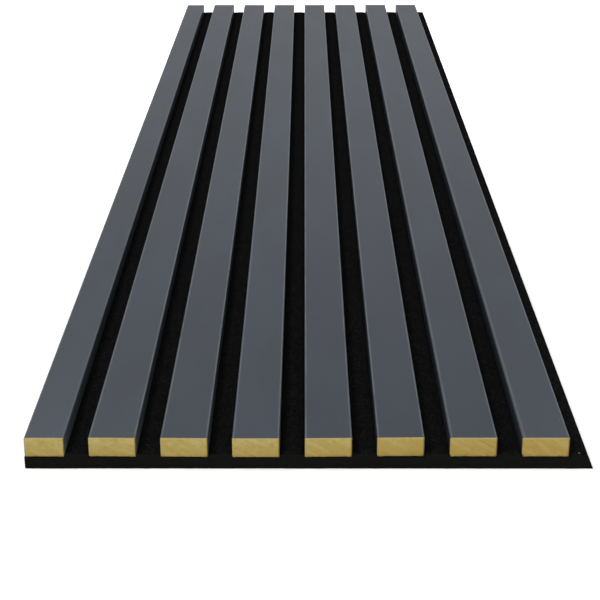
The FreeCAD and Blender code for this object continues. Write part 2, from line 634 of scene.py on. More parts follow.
@dataclass(frozen=True)
class HotMeltGlue:
    """Ethylene-vinyl hot melt, rolled on in a thin film: a waxy, milky amber with small bubbles."""

    amber: str = "D9C690"
    milky: str = "EFE6C8"
    streak_size: Triple = (1.2 * MM, 14 * MM, 1.2 * MM)
    bubble: float = 1.6 * MM
    relief: float = 0.05 * MM
    depth: Triple = (1.0 * MM, 0.7 * MM, 0.4 * MM)

    def build(self) -> bpy.types.Material:
        """Make the material: milky streaks in the amber, with light that sinks in a little.

        Returns:
            The material.
        """
        material, tree, place = blank_material("hot_melt_glue")
        streaks = speckle(tree, place, self.streak_size, 3.0)
        bubbles = add(tree, "ShaderNodeTexVoronoi", {"Vector": place, "Scale": 1 / self.bubble}).outputs[0]
        shader = {
            "Base Color": coated(tree, linear(self.amber), (streaks, self.milky, 0.35, 0.65)),
            "Roughness": 0.35,
            "IOR": 1.48,
            "Subsurface Weight": 0.25,
            "Subsurface Radius": self.depth,
        }
        close_material(tree, bubbles, self.relief, 0.5, shader)
        return material


@dataclass(frozen=True)
class GalvanisedWire:
    """Flat galvanised steel wire, drawn and bent: a greyish metal with die lines and dull zinc."""

    zinc: str = "B9BCBE"
    dull: str = "8B8F92"
    spangle_size: Triple = (0.5 * MM, 0.5 * MM, 0.5 * MM)
    line_size: Triple = (4.0 * MM, 0.06 * MM, 0.06 * MM)
    relief: float = 0.02 * MM
    roughness: tuple[float, float] = (0.32, 0.5)

    def build(self) -> bpy.types.Material:
        """Make the material: zinc spangles over the colour and the gloss, and fine lines.

        Returns:
            The material.
        """
        material, tree, place = blank_material("galvanised_steel_wire")
        spangle = speckle(tree, place, self.spangle_size, 3.0)
        lines = speckle(tree, place, self.line_size, 2.0)
        rough = add(tree, "ShaderNodeMapRange", (spangle, 0.3, 0.7, *self.roughness),
                    interpolation_type="SMOOTHSTEP")
        shader = {
            "Base Color": coated(tree, linear(self.zinc), (spangle, self.dull, 0.35, 0.65)),
            "Metallic": 1.0,
            "Roughness": rough.outputs[0],
        }
        close_material(tree, lines, self.relief, 0.4, shader)
        return material


@dataclass(frozen=True)
class GreyLint:
    """Matted polyester lint: a soft grey fleck, lighter at its fibre ends."""

    grey: str = "77787A"
    pale: str = "9A9B9D"
    hair_size: Triple = (0.4 * MM, 0.08 * MM, 0.08 * MM)
    relief: float = 0.05 * MM

    def build(self) -> bpy.types.Material:
        """Make the material: pale hairs over the grey.

        Returns:
            The material.
        """
        material, tree, place = blank_material("matted_polyester_lint")
        hairs = speckle(tree, place, self.hair_size, 2.0)
        colour = coated(tree, linear(self.grey), (hairs, self.pale, 0.4, 0.65))
        shader = {"Base Color": colour, "Roughness": 1.0, "Specular IOR Level": 0.0}
        close_material(tree, hairs, self.relief, 0.7, shader)
        return material


# How much paler each foil is painted towards its near end, from left to right: a painted sheen
PAINTED_SHEEN = (0.27, 0.15, 0.07, 0.09, 0.05, 0.05, 0.05, 0.16)

# How worn each foil's long edges are, from left to right
WORN = (0.5, 1.0, 1.0, 1.0, 1.0, 1.0, 0.9, 0.8)

# How much further in the worn line lies on each foil's left side, from left to right
WORN_IN_MM = (0.0, 0.15, 0.2, 0.15, 0.1, 0.15, 0.5, 0.7)

# How much browner each board looks than the first, from left to right
BROWNED = (0.0, 0.05, 0.1, 0.2, 0.35, 0.6, 0.85, 0.95)

# Set-back and twist of the near ends from the first slat to the last, as the photo shows them
NEAR_ENDS_MM = (
    (0.5, -0.2), (0.62, -0.35), (0.36, -0.3), (0.02, 0.0),
    (0.36, 0.35), (1.05, 0.35), (0.77, 0.1), (0.71, 0.0),
)

# How far each slat is laid off its even place, to the right, as the photo shows them
LAID_OFF_MM = (0.0, -0.15, -0.1, -0.15, -0.4, -0.05, 0.35, 0.45)

# How far the near end of each slat is drawn to the right from that, and how soon that fades
DRAWN_IN_MM = (0.25, 0.1, -0.1, -0.3, 0.1, -0.25, -0.45, -0.6)
DRAWN_REACH = 150 * MM


@dataclass(frozen=True)
class SlatEnds:
    """How one slat's ends lie: each set back from the felt's ends and a little out of square."""

    near_set_back: float
    near_twist: float
    far_set_back: float

    def plane(self, end: End, box: Box, x: np.ndarray) -> np.ndarray:
        """Y of a sawn end, with the near one turned by its twist over the slat's width.

        Args:
            end: Which end.
            box: The slat's box.
            x: The places across the slat.

        Returns:
            The felt's end less the set-back, plus the twist times the share of the width
            from the slat's middle, at each x.
        """
        across = (x - box.middle(0)) / box.size(0)
        if end is End.NEAR:
            return box.low[1] + self.near_set_back + self.near_twist * across
        return box.high[1] - self.far_set_back + 0 * across


def drawn_in(points: np.ndarray, number: int, box: Box) -> np.ndarray:
    """Move a slat's points sideways, by a draw that falls off exponentially from the near end.

    Args:
        points: The points of its foil or its bar.
        number: The slat's number, from 1.
        box: The slat's box.

    Returns:
        The moved points.
    """
    moved = points.copy()
    moved[:, 0] += DRAWN_IN_MM[number - 1] * MM * np.exp(-(points[:, 1] - box.low[1]) / DRAWN_REACH)
    return moved


def slat_box(node: str, number: int) -> Box:
    """The box of a slat's CAD node, moved to where that slat was laid."""
    return Box.of(node).moved(LAID_OFF_MM[number - 1] * MM)


def slat_ends() -> list[SlatEnds]:
    """The ends of every slat: the near ones as seen, the far ones drawn at random."""
    far = np.random.default_rng(Seed.FAR_ENDS).uniform(0.1, 0.9, SLAT_COUNT)
    return [SlatEnds(near[0] * MM, near[1] * MM, back * MM) for near, back in zip(NEAR_ENDS_MM, far)]


@dataclass
class FoilWrap:
    """The decor foil round one slat: a thin sheet folded over the top, the sides and the foot."""

    number: int
    ends: SlatEnds
    thickness: float = 0.2 * MM
    turn_in: float = 3.0 * MM
    top_radius: float = 0.8 * MM
    foot_radius: float = 0.5 * MM
    corner_steps: int = 9
    crosswise: Steps = Steps(0.35 * MM, 1.3, 2.5 * MM)
    lengthwise: Steps = Steps(0.12 * MM, 1.6, 30 * MM)
    ragged: float = 0.05 * MM
    ragged_grain: float = 1.3 * MM
    # Middle of the worn line, from the slat's side, and how far it reaches to each side
    worn_at: float = 0.6 * MM
    worn_reach: float = 0.36 * MM
    # How far from the near end the foil is painted paler, as a painted sheen, and how much painted light its
    # right side has: a little all along, and more towards the near end
    painted_sheen_reach: float = 110 * MM
    scuffed_all: float = 0.035
    scuffed: float = 0.7
    scuffed_reach: float = 40 * MM

    @property
    def node(self) -> str:
        """The CAD node that this foil replaces."""
        return f"slat_foil_{self.number}"

    def path(self, box: Box, inset: float) -> np.ndarray:
        """The line that the foil follows round the slat, seen along it.

        Four rounded corners, each a quarter circle about a centre that lies one radius inside
        the slat's faces, are joined by straight runs. The run over the flat top is divided
        closely at its ends, where the worn line fades out.

        Args:
            box: The slat's box.
            inset: Nothing for the outside of the foil, its thickness for the inside.

        Returns:
            Rows of x and z.
        """
        left, right, low, high = box.low[0], box.high[0], box.low[2], box.high[2]
        foot, top = self.foot_radius, self.top_radius
        turns = (
            (left + foot, low + foot, foot, 1.5 * math.pi),
            (left + top, high - top, top, math.pi),
            (right - top, high - top, top, 0.5 * math.pi),
            (right - foot, low + foot, foot, 0.0),
        )
        corners = [quarter_arc(x, z, r - inset, start, self.corner_steps) for x, z, r, start in turns]
        flat = self.crosswise.between(left + top, right - top)[1:-1]
        over_top = np.stack([flat, np.full(len(flat), high - inset)], axis=1)
        turned_in = [np.array([[x, low + inset]]) for x in (left + self.turn_in, right - self.turn_in)]
        return np.concatenate([turned_in[0], *corners[:2], over_top, *corners[2:], turned_in[1]])

    def build(self) -> Piece:
        """Make the foil as a ring of points, outside then inside, carried along the slat.

        Near each end a ring is moved along Y onto the sawn plane, plus a fine ragged edge.

        Returns:
            The foil, with the attributes that its finish reads.
        """
        box = slat_box(self.node, self.number)
        ring = np.concatenate([self.path(box, 0.0), self.path(box, self.thickness)[::-1]])
        places = self.lengthwise.between(box.low[1], box.high[1])
        share = (places - box.low[1]) / box.size(1)
        ragged = np.abs(self.ragged * ripple(ring, self.ragged_grain, Seed.RAGGED + self.number))
        near = self.ends.plane(End.NEAR, box, ring[:, 0]) + ragged
        far = self.ends.plane(End.FAR, box, ring[:, 0]) - ragged
        rings = np.empty((len(places), len(ring), 3))
        rings[:, :, [0, 2]] = ring
        rings[:, :, 1] = near + share[:, None] * (far - near)
        half = len(ring) // 2
        shell = Shell()
        shell.add_grid(np.concatenate([rings, rings[:, :1]], axis=1))
        for row in (0, -1):
            shell.add_grid(np.stack([rings[row, :half], rings[row, half:][::-1]]))
        points, faces = shell.welded()
        placed = drawn_in(points, self.number, box)
        piece = make_piece(f"foil_wrap_{self.number}", placed, faces, sharp=50.0)
        end_y = np.round(np.concatenate([rings[0], rings[-1]])[:, 1], 8)
        inward = points[:, 1] - box.low[1]
        on_right = (points[:, 2] < box.high[2] - self.top_radius) & (points[:, 0] > box.middle(0))
        # Painted light on the right side: a little all along, and more towards the near end
        scuff = self.scuffed_all + self.scuffed * np.exp(-inward / self.scuffed_reach)
        set_attributes(
            piece,
            bend=self.bend_at(points, box),
            cut=np.where(np.isin(np.round(points[:, 1], 8), end_y), 1.0, 0.0),
            # The tone is a painted sheen, paler towards the near end
            tone=PAINTED_SHEEN[self.number - 1] * np.exp(-inward / self.painted_sheen_reach),
            scuff=np.where(on_right, scuff, 0.0),
        )
        return piece

    def bend_at(self, points: np.ndarray, box: Box) -> np.ndarray:
        """How worn each point is: a bell curve over the start of the flat face, beside the bends.

        Args:
            points: The foil's points.
            box: The slat's box.

        Returns:
            A share for each point, and nothing below the rounded edges.
        """
        off = points[:, 0] - box.middle(0)
        gap = box.size(0) / 2 - np.abs(off) - np.where(off < 0, WORN_IN_MM[self.number - 1] * MM, 0.0)
        share = WORN[self.number - 1] * bell(gap - self.worn_at, self.worn_reach)
        return np.where(points[:, 2] > box.high[2] - self.top_radius, share, 0.0)


@dataclass
class FibreboardBar:
    """The fibreboard inside one foil: a long bar with two sawn, mealy ends."""

    number: int
    ends: SlatEnds
    top_radius: float = 0.6 * MM
    foot_radius: float = 0.3 * MM
    cell: float = 0.25 * MM
    # Steps along the bar, as shares of its length
    lengthwise: Steps = Steps(0.003, 1.6, 0.025)
    saw_radius: float = 125 * MM
    saw_pitch: float = 1.1 * MM
    saw_depth: float = 0.035 * MM
    meal_depth: float = 0.03 * MM
    rub_depth: float = 0.06 * MM
    crumb_depth: float = 0.12 * MM
    meal_grains: tuple[float, float] = (0.9 * MM, 3.0 * MM)
    crumb_grain: float = 2.2 * MM
    rim_grain: float = 2.4 * MM
    # How far in the saw's marks reach from the top and the right, and from the foot and the left
    top_reach: float = 0.4 * MM
    foot_reach: float = 0.35 * MM
    # The most that the foot is scorched and the rim in all, and that the top and the left are paled, by torn
    # fibre and a painted highlight
    foot_scorch: float = 0.6
    most_scorch: float = 0.9
    top_torn: float = 0.7
    left_torn: float = 0.25
    # The photo's one plain scratch: its slat, its two ends as x and z, its width and depth
    scored_slat: int = 7
    score_start: tuple[float, float] = (89.5 * MM, 16.8 * MM)
    score_end: tuple[float, float] = (98.6 * MM, 11.4 * MM)
    score_width: float = 0.16 * MM
    score_depth: float = 0.1 * MM

    @property
    def node(self) -> str:
        """The CAD node that this bar replaces."""
        return f"slat_core_{self.number}"

    def section(self, box: Box) -> np.ndarray:
        """A grid of points over the bar's cross-section.

        A rectangle of even cells, in which each corner's square is pressed to a quarter disc:
        a point at shares a and b of the square goes to a times the root of one less half of b
        squared, and b times the root of one less half of a squared.

        Args:
            box: The bar's box.

        Returns:
            Rows and columns of x and z.
        """
        x, z = np.meshgrid(
            *(np.linspace(box.low[i], box.high[i], int(box.size(i) / self.cell) + 1) for i in (0, 2))
        )
        off_x, off_z = x - box.middle(0), z - box.middle(2)
        radius = np.where(off_z > 0, self.top_radius, self.foot_radius)
        core_x, core_z = box.size(0) / 2 - radius, box.size(2) / 2 - radius
        a = np.clip((np.abs(off_x) - core_x) / radius, 0, 1)
        b = np.clip((np.abs(off_z) - core_z) / radius, 0, 1)
        both = (a > 0) & (b > 0)
        round_x = box.middle(0) + np.sign(off_x) * (core_x + radius * a * np.sqrt(1 - b * b / 2))
        round_z = box.middle(2) + np.sign(off_z) * (core_z + radius * b * np.sqrt(1 - a * a / 2))
        return np.stack([np.where(both, round_x, x), np.where(both, round_z, z)], axis=2)

    def rim_share(self, flat: np.ndarray, box: Box) -> np.ndarray:
        """How scorched the end is: most at the right side and the foot, where the saw leaves it.

        Args:
            flat: Rows of x and z.
            box: The bar's box.

        Returns:
            A bell curve from the right, plus an uneven exponential from the foot.
        """
        uneven = np.clip(1 + 0.6 * ripple(flat, self.rim_grain, Seed.RIM + self.number), 0.2, 2)
        right = bell(box.high[0] - flat[:, 0], self.top_reach)
        foot = self.foot_scorch * np.exp(-(flat[:, 1] - box.low[2]) / (self.foot_reach * uneven))
        return np.clip(right + foot, 0, self.most_scorch)

    def torn_and_highlight_share(self, flat: np.ndarray, box: Box) -> np.ndarray:
        """How pale the end is: most at the top and the left, partly torn fibre where the saw enters and
        partly a painted highlight along those edges.

        Args:
            flat: Rows of x and z.
            box: The bar's box.

        Returns:
            The sum of an exponential from the top and a fainter one from the left.
        """
        top = np.exp(-(box.high[2] - flat[:, 1]) / self.top_reach)
        left = np.exp(-(flat[:, 0] - box.low[0]) / self.foot_reach)
        return np.clip(self.top_torn * top + self.left_torn * left, 0, self.top_torn)

    def score_share(self, flat: np.ndarray) -> np.ndarray:
        """How much of the scratch each point has.

        Args:
            flat: Rows of x and z.

        Returns:
            A bell curve of the distance from the scratch's line, fainter towards its two
            ends, and nothing on any other slat.
        """
        if self.number != self.scored_slat:
            return np.zeros(len(flat))
        start, end = np.array(self.score_start), np.array(self.score_end)
        way = end - start
        along = np.clip(((flat - start) @ way) / (way @ way), 0, 1)
        gap = np.linalg.norm(flat - start - along[:, None] * way, axis=1)
        return bell(gap, self.score_width) * (0.5 + 0.5 * np.sin(math.pi * along))

    def relief(self, flat: np.ndarray, box: Box, end: End) -> np.ndarray:
        """How far each point of an end lies inside the sawn plane.

        The sum of the blade's scores, which are a sine of the distance from a far-off saw
        centre, a mealy ripple at two scales, a rim that is rubbed round, crumbs torn out along
        the foot, and the scratch.

        Args:
            flat: Rows of x and z.
            box: The bar's box.
            end: Which end.

        Returns:
            The depth of each point.
        """
        seed = Seed.SAWN + 10 * self.number + end.value
        centre = np.array([box.middle(0), box.low[2]]) - 0.7 * self.saw_radius
        distance = np.linalg.norm(flat - centre, axis=1)
        scores = self.saw_depth * (1 + np.sin(2 * math.pi * distance / self.saw_pitch))
        fine, coarse = (ripple(flat, grain, seed + i) for i, grain in enumerate(self.meal_grains))
        meal = self.meal_depth * (2 + fine + coarse)
        torn = np.clip(ripple(flat * (1, 0.2), self.crumb_grain, seed + 2) - 0.2, 0, None)
        to_right = (flat[:, 0] - box.low[0]) / box.size(0)
        from_foot = np.exp(-(flat[:, 1] - box.low[2]) / self.foot_reach)
        crumbs = self.crumb_depth * torn * from_foot * (1 - to_right) ** 2
        rubbed = self.rub_depth * self.rim_share(flat, box)
        scratch = self.score_depth * self.score_share(flat) if end is End.NEAR else 0.0
        return np.clip(scores + meal + crumbs + rubbed + scratch, 0, None)

    def build(self) -> Piece:
        """Make the bar from its two end grids and the walls between their outlines.

        Returns:
            The bar, with the attributes that its finish reads.
        """
        box = slat_box(self.node, self.number)
        flat = self.section(box)
        pairs = flat.reshape(-1, 2)
        shell = Shell()
        rings = []
        for end in End:
            y = self.ends.plane(end, box, pairs[:, 0]) - end.value * self.relief(pairs, box, end)
            grid = np.stack([pairs[:, 0], y, pairs[:, 1]], axis=1).reshape(*flat.shape[:2], 3)
            shell.add_grid(grid)
            rings.append(outline(grid))
        share = self.lengthwise.between(0.0, 1.0)[:, None, None]
        shell.add_grid(rings[0] + share * (rings[1] - rings[0]))
        points, faces = shell.welded()
        placed = drawn_in(points, self.number, box)
        piece = make_piece(f"fibreboard_bar_{self.number}", placed, faces, sharp=60.0)
        seen = points[:, [0, 2]]
        set_attributes(
            piece,
            rim=self.rim_share(seen, box),
            torn=self.torn_and_highlight_share(seen, box),
            browned=np.full(len(points), BROWNED[self.number - 1]),
            score=np.where(points[:, 1] < box.middle(1), self.score_share(seen), 0.0),
        )
        return piece


@dataclass
class StapleRow:
    """The staples, which stand where their CAD node has them."""

    node: str = "staples"
    wire_width: float = 0.95 * MM
    wire_thickness: float = 0.65 * MM
    bend_radius: float = 0.9 * MM
    least_radius: float = 0.2 * MM
    bend_steps: int = 7
    point: float = 1.1 * MM
    # Two points of one row differ less than this along the slats
    row_gap: float = 5 * MM
    # Two points of one staple differ less than this across the slats
    staple_gap: float = 14 * MM

    def centres(self) -> tuple[np.ndarray, float]:
        """Find each staple in the node, which holds them all.

        The points are sorted into rows by their Y, and each row is parted wherever its next
        point is further off in X than one staple reaches.

        Returns:
            The middle of each staple as rows of x and y, and half of a crown's width.
        """
        points = np.unique(np.round(node_points(self.node), 6), axis=0)
        row_of = np.round(points[:, 1] / self.row_gap)
        found = []
        for row in np.unique(row_of):
            x, y = points[row_of == row, 0], points[row_of == row, 1].mean()
            x = np.unique(x)
            groups = np.split(x, np.flatnonzero(np.diff(x) > self.staple_gap) + 1)
            found += [((group[0] + group[-1]) / 2, y, (group[-1] - group[0]) / 2) for group in groups]
        table = np.array(found)
        return table[:, :2], float(table[:, 2].mean())

    def line(self, box: Box, half: float, inset: float, cut: float) -> np.ndarray:
        """One outline of a staple: up a leg, round a bend, along the crown and back the same way.

        Args:
            box: The staples' box.
            half: Half of a crown's width.
            inset: Nothing for the outside of the wire, its thickness for the inside.
            cut: How far short of the tip the line begins.

        Returns:
            Rows of x and z, from one leg's point to the other's.
        """
        radius = max(self.bend_radius - inset, self.least_radius)
        low = box.low[2] + inset
        arc = quarter_arc(half - inset - radius, low + radius, radius, 0.0, self.bend_steps)
        side = np.concatenate([[[half - inset, box.high[2] - cut]], arc, [[0.0, low]]])
        return np.concatenate([side, side[-2::-1] * (-1, 1)])

    def build(self) -> Piece:
        """Carry a flat wire section along each staple, with its points cut on a slant.

        Returns:
            All the staples, as one piece.
        """
        box = Box.of(self.node)
        middles, half = self.centres()
        outer = self.line(box, half, 0.0, 0.0)
        inner = self.line(box, half, self.wire_thickness, self.point)
        flat = np.stack([outer, outer, inner, inner, outer], axis=1)
        across = np.broadcast_to(np.array([-1, 1, 1, -1, -1]) * self.wire_width / 2, flat.shape[:2])
        one = np.stack([flat[:, :, 0], across, flat[:, :, 1]], axis=2)
        shell = Shell()
        for x, y in middles:
            placed = one + (x, y, 0)
            shell.add_grid(placed)
            for row in (0, -1):
                shell.add_grid(np.stack([placed[row, [0, 1]], placed[row, [3, 2]]]))
        points, faces = shell.welded()
        return make_piece("staple_wires", points, faces, sharp=45.0)


@dataclass
class FeltBoard:
    """The felt: a soft black board with a seat under each slat and pillowed strips between."""

    slats: list[Box]
    staple_middles: np.ndarray
    crown_half: float
    node: str = "felt_backing"
    rim_radius: float = 0.9 * MM
    draw_down: float = 0.75 * MM
    draw_reach: float = 0.8 * MM
    # The shares of a quarter-round edge that the lap, the other strips' ends and the seats' have
    lap_round: float = 0.8
    strip_round: float = 0.9
    seat_round: float = 0.25
    nap: float = 0.07 * MM
    nap_grains: tuple[float, float] = (1.7 * MM, 5.5 * MM)
    # How far the saw wandered along the felt's ends, and how long its swings are
    saw_wander: float = 0.12 * MM
    wander_grain: float = 9 * MM
    # How much wider the lap grows towards the far end, as hand-cut felt does
    lap_drift: float = 1.1 * MM
    dimple_reach: float = 0.9 * MM
    dimple_depth: float = 0.95 * MM
    # Half of a crown's width across its wire
    crown_side: float = 0.45 * MM
    # The back's nap stops this far from its edges
    back_rim: float = 0.5 * MM
    # Felt that lies this much over the seats is not covered by a slat
    seat_skin: float = 0.1 * MM
    crosswise: Steps = Steps(0.25 * MM, 1.6, 1.6 * MM)
    lengthwise: Steps = Steps(0.2 * MM, 1.12, 9 * MM)
    # Where a crown needs columns, as shares of its half, and rows, in millimetres
    crown_columns: tuple[float, ...] = (-1.07, -0.93, -0.5, 0, 0.5, 0.93, 1.07)
    crown_rows_mm: tuple[float, ...] = (-1.6, -0.8, -0.45, 0.0, 0.45, 0.8, 1.6)
    # Other rows keep this far from a crown
    crown_clear: float = 2.5 * MM
    wall_steps: int = 9
    box: Box = field(init=False)

    def __post_init__(self) -> None:
        """Read the felt's box from its node."""
        self.box = Box.of(self.node)

    @property
    def seat(self) -> float:
        """The height of the pressed seats under the slats."""
        return self.slats[0].low[2]

    def strips(self) -> list[tuple[float, float]]:
        """The uncovered strips of felt.

        Returns:
            The left and right side of each, the lap last.
        """
        rights = [slat.high[0] for slat in self.slats]
        lefts = [slat.low[0] for slat in self.slats[1:]]
        return list(zip(rights, lefts + [self.lap_edge()]))

    def lap_edge(self) -> float:
        """Find the slanted lap's upper edge from the felt's own highest points.

        Returns:
            X of the edge, half a rim's radius further out than the last of them.
        """
        points = node_points(self.node)
        top = points[points[:, 2] > self.box.high[2] - TOUCH]
        return float(top[:, 0].max()) + 0.5 * self.rim_radius

    def rim_drop(self, gap: np.ndarray) -> np.ndarray:
        """How far a quarter-round edge falls below the top at a distance from its outer side."""
        inside = np.clip(self.rim_radius - gap, 0, self.rim_radius)
        return self.rim_radius - np.sqrt(self.rim_radius**2 - inside**2)

    def strip_height(self, x: np.ndarray, left: float, right: float, is_lap: bool) -> np.ndarray:
        """Height of an uncovered strip: the felt's top, drawn down exponentially beside each slat.

        Args:
            x: The places across the strip.
            left: The strip's left side.
            right: Its right side.
            is_lap: Whether it is the lap, which is rounded off on the right instead.

        Returns:
            The height at each x.
        """
        height = self.box.high[2] - self.draw_down * np.exp(-(x - left) / self.draw_reach)
        if is_lap:
            return height - self.rim_drop(right - x) * self.lap_round
        return height - self.draw_down * np.exp(-(right - x) / self.draw_reach)

    def profile(self) -> tuple[np.ndarray, np.ndarray, np.ndarray]:
        """The board's cross-section, as columns from left to right.

        Returns:
            X and Z of the upper side, and X of the lower side, which is flat.
        """
        xs, zs = [], []
        strips = self.strips()
        for i, (slat, (left, right)) in enumerate(zip(self.slats, strips)):
            marks = slat.middle(0) + self.crown_half * np.array(self.crown_columns)
            seat = np.concatenate([[slat.low[0]], marks, [slat.high[0]]])
            strip = self.crosswise.between(left, right)
            xs += [seat, strip]
            zs += [np.full(len(seat), self.seat), self.strip_height(strip, left, right, i == len(strips) - 1)]
        x, z = np.concatenate(xs), np.concatenate(zs)
        last, edge = strips[-1]
        stretch = (self.box.high[0] - last) / (edge - last)
        return x, z, np.where(x > last, last + (x - last) * stretch, x)

    def rows(self) -> np.ndarray:
        """Places along Y: close at both ends, and in sevens across each row of staples.

        Returns:
            The places in rising order.
        """
        ends = self.lengthwise.between(self.box.low[1], self.box.high[1])
        lines = np.unique(np.round(self.staple_middles[:, 1], 6))
        near = (lines[:, None] + np.array(self.crown_rows_mm) * MM).ravel()
        clear = np.abs(ends[:, None] - lines[None, :]).min(axis=1) > self.crown_clear
        return np.sort(np.concatenate([ends[clear], near]))

    def build(self) -> Piece:
        """Make the board from an upper and a lower grid and the four walls between them.

        The upper grid is the cross-section carried along Y, rounded down at both ends by a
        quarter circle where no slat covers it. The nap is a fine ripple added to every point.

        Returns:
            The board, with the attribute that its finish reads.
        """
        x, z, below = self.profile()
        y = self.rows()
        drop = self.rim_drop(np.minimum(y - y[0], y[-1] - y))
        is_open = z > self.seat + self.seat_skin
        height = z - drop[:, None] * np.where(is_open, self.strip_round, self.seat_round)
        last = self.strips()[-1][0]
        on_lap = np.clip((x - last) / (x[-1] - last), 0, 1)
        drift = self.lap_drift * (y - y[0]) / (y[-1] - y[0])
        upper = np.stack(np.broadcast_arrays(x + on_lap * drift[:, None], y[:, None], height), axis=2)
        lower = np.stack(np.broadcast_arrays(below[None, :], y[:, None], 0.0), axis=2)
        shell = Shell()
        shell.add_grid(upper)
        shell.add_grid(lower)
        share = np.linspace(0, 1, self.wall_steps)[:, None, None]
        for side in (np.s_[0], np.s_[-1], np.s_[:, 0], np.s_[:, -1]):
            shell.add_grid(upper[side] + share * (lower[side] - upper[side]))
        points, faces = shell.welded()
        piece = make_piece("felt_board", self.napped(points), faces, sharp=50.0)
        set_attributes(piece, cut=self.cut_share(points))
        return piece

    def cut_share(self, points: np.ndarray) -> np.ndarray:
        """Which points lie on a cut edge, which is painted paler, partly for its fibre ends and partly as
        painted light on the cut faces: 1 there, else 0.
        """
        at_left = points[:, 0] < self.box.low[0] + TOUCH
        return np.where((self.box.end_gap(points) < TOUCH) | at_left, 1.0, 0.0)

    def napped(self, points: np.ndarray) -> np.ndarray:
        """Give the board its nap, and press a dimple round each staple's crown.

        The nap moves a point inwards by a fine ripple, never out of the board, and each sawn
        end by a slower one too. A dimple lifts the back by a bell curve of the distance from
        the crown.

        Args:
            points: The plain board's points.

        Returns:
            The moved points.
        """
        box = self.box
        moved = points.copy()
        fine, coarse = (ripple(points, grain, Seed.NAP + i) for i, grain in enumerate(self.nap_grains))
        inward = self.nap * np.clip(0.5 + 0.25 * (fine + coarse), 0, 1.2)
        moved[:, 2] -= np.where(points[:, 2] > self.seat + self.seat_skin, 3 * inward, 0.0)
        wander = np.clip(1 + ripple(points * (1, 0, 1), self.wander_grain, Seed.WANDER), 0, None)
        cut = self.saw_wander * wander + 2 * inward
        moved[:, 1] += np.where(points[:, 1] < box.low[1] + TOUCH, cut, 0.0)
        moved[:, 1] -= np.where(points[:, 1] > box.high[1] - TOUCH, cut, 0.0)
        back = points[:, 2] < TOUCH
        under = points[back]
        inner = np.minimum(box.end_gap(under), box.high[0] - under[:, 0]) > self.back_rim
        lift = np.where(inner, inward[back], 0.0)
        for x, y in self.staple_middles:
            off_x = np.clip(np.abs(under[:, 0] - x) - self.crown_half, 0, None)
            off_y = np.clip(np.abs(under[:, 1] - y) - self.crown_side, 0, None)
            lift = np.maximum(lift, self.dimple_depth * bell(np.hypot(off_x, off_y), self.dimple_reach))
        moved[back, 2] += lift
        return moved


